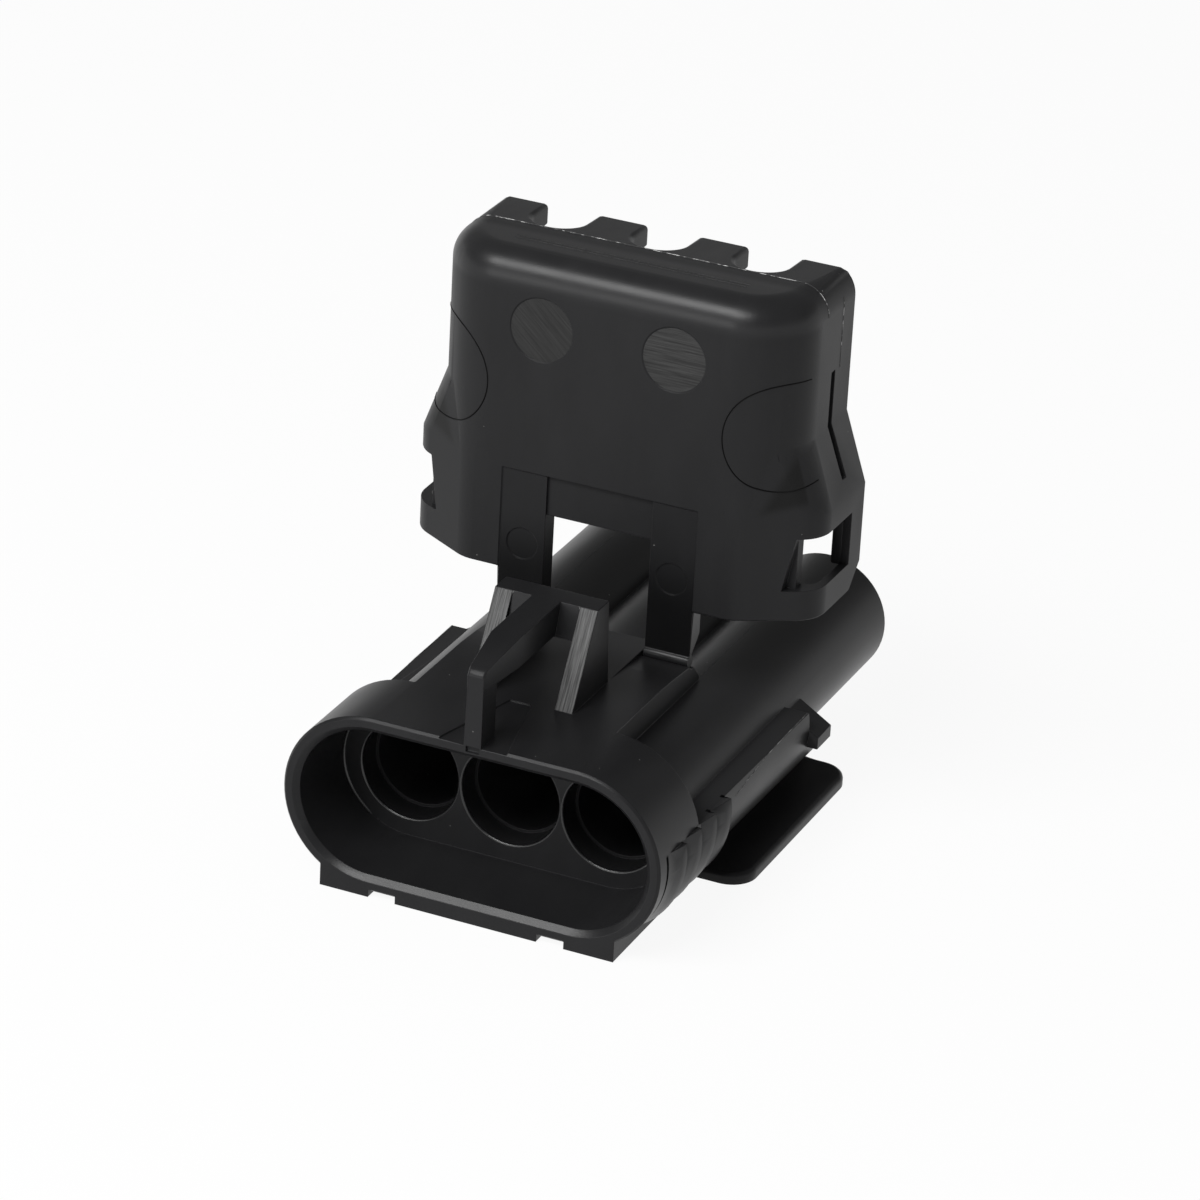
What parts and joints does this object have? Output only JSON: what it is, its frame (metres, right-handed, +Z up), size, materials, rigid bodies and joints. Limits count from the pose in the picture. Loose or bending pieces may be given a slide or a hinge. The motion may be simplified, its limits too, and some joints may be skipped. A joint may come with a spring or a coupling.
{
  "type": "electrical connector shell",
  "caption": "Sealed in-line cable connector shell with a stadium-shaped mating mouth, side-by-side rear barrels, a latch bridge and a hinged rear lock that stands open.",
  "frame": {"origin": "under the middle of the shell, on the surface that its base stands on, halfway between the mating mouth and the cable end", "axes": "+Y from the mating mouth towards the cable end, along the terminals; +X across the row of barrels; +Z up from the base to the open lock"},
  "size_m": [0.0342, 0.0494, 0.0448],
  "materials": {
    "black_plastic": "satin moulded black thermoplastic"
  },
  "bodies": {
    "housing": {"housing": "black_plastic"},
    "secondary_lock": {"secondary_lock": "black_plastic"}
  },
  "joints": [
    {"name": "lock_hinge", "type": "hinge", "parent": "housing", "child": "secondary_lock", "pos_m": [0, -0.00335, 0.0147], "axis": [-1, 0, 0], "range_deg": [0, 90]}
  ]
}
